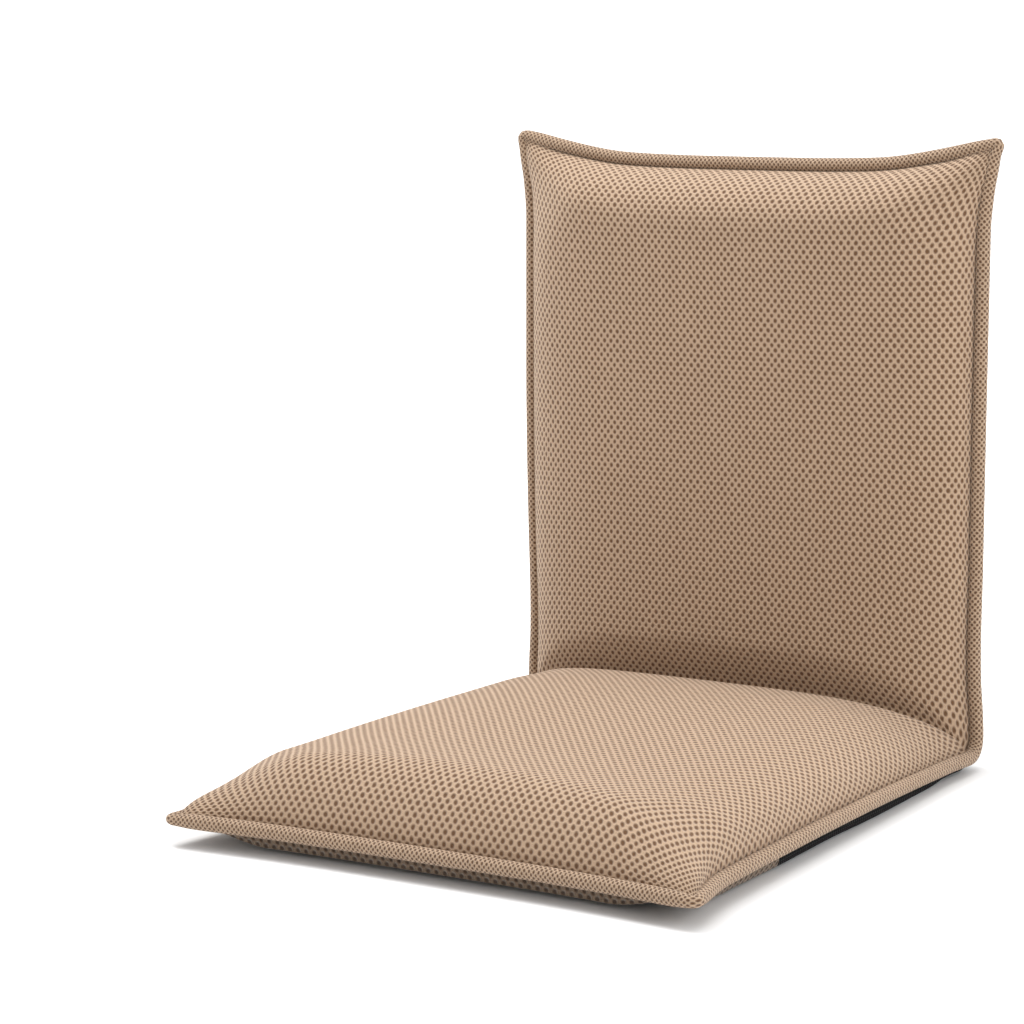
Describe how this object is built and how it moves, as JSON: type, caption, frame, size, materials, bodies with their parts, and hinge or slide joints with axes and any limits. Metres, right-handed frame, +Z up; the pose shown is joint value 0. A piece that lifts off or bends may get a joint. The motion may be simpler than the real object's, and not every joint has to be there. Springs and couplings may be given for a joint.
{
  "type": "folding floor chair",
  "caption": "Legless floor chair: padded seat and back in air mesh with thick welts, on steel frames joined by ratchet hinges that fold flat.",
  "frame": {"origin": "on the floor, under the middle of the whole chair's bounding box, with the chair upright", "axes": "+X to the sitter's left, +Y to the rear (the chair faces -Y), +Z up"},
  "size_m": [0.5392, 0.6584, 0.6254],
  "materials": {
    "tan_mesh": "matte",
    "welt_mesh": "matte",
    "antislip_cloth": "matte",
    "foam": "matte",
    "grey_felt": "matte",
    "black_webbing": "matte",
    "frame_steel": "satin",
    "hinge_steel": "satin",
    "black_plastic": "satin",
    "zip_metal": "satin",
    "zip_tape": "matte",
    "zip_coil": "satin"
  },
  "bodies": {
    "seat": {"seat_frame_tube": "frame_steel", "seat_cross_bar": "frame_steel", "seat_tube_plugs": "black_plastic", "seat_webbing": "black_webbing", "seat_top_cover": "tan_mesh", "seat_foam": "foam", "seat_antislip_panel": "antislip_cloth", "seat_front_underpanel": "tan_mesh", "seat_felt_underlay": "grey_felt", "seat_welt": "welt_mesh", "hinge_spacers": "hinge_steel", "seat_frame_rivets": "hinge_steel", "hinge_cheek_inner_left": "hinge_steel", "hinge_cheek_outer_left": "hinge_steel", "pivot_rivet_left": "hinge_steel", "pawl_pin_left": "hinge_steel", "pawl_spring_left": "hinge_steel", "hinge_washers_left": "hinge_steel", "hinge_cheek_inner_right": "hinge_steel", "hinge_cheek_outer_right": "hinge_steel", "pivot_rivet_right": "hinge_steel", "pawl_pin_right": "hinge_steel", "pawl_spring_right": "hinge_steel", "hinge_washers_right": "hinge_steel"},
    "back": {"back_frame_tube": "frame_steel", "back_cross_bar": "frame_steel", "back_tube_plugs": "black_plastic", "back_webbing": "black_webbing", "back_front_cover": "tan_mesh", "back_foam": "foam", "back_antislip_panel": "antislip_cloth", "back_top_rear_panel": "tan_mesh", "back_felt_underlay": "grey_felt", "back_welt": "welt_mesh", "ratchet_arm_left": "hinge_steel", "ratchet_arm_right": "hinge_steel", "back_frame_rivets": "hinge_steel", "zip_tape": "zip_tape", "zip_coil": "zip_coil"},
    "pawl_left": {"pawl_left": "hinge_steel"},
    "pawl_right": {"pawl_right": "hinge_steel"},
    "zip_slider": {"zip_slider": "zip_metal"},
    "zip_pull": {"zip_pull": "zip_metal"}
  },
  "joints": [
    {"name": "back_recline", "type": "hinge", "parent": "seat", "child": "back", "pos_m": [0, 0.29785, 0.032], "axis": [1, 0, 0], "range_deg": [-90, 78], "deforming": ["seat_foam", "seat_top_cover", "back_foam", "back_front_cover"]},
    {"name": "pawl_left_click", "type": "hinge", "parent": "seat", "child": "pawl_left", "pos_m": [0.191, 0.26285, 0.0314], "axis": [1, 0, 0], "range_deg": [0, 6.2], "stiffness_Nm_per_rad": 0.02, "springref_deg": 20.05},
    {"name": "pawl_right_click", "type": "hinge", "parent": "seat", "child": "pawl_right", "pos_m": [-0.191, 0.26285, 0.0314], "axis": [1, 0, 0], "range_deg": [0, 6.2], "stiffness_Nm_per_rad": 0.02, "springref_deg": 20.05},
    {"name": "zip_run", "type": "slide", "parent": "back", "child": "zip_slider", "axis": [-1, 0, 0], "range_m": [0, 0.3]},
    {"name": "pull_flip", "type": "hinge", "parent": "zip_slider", "child": "zip_pull", "pos_m": [0.1485, 0.3289, 0.5], "axis": [0, 0, 1], "range_deg": [0, 170]}
  ]
}
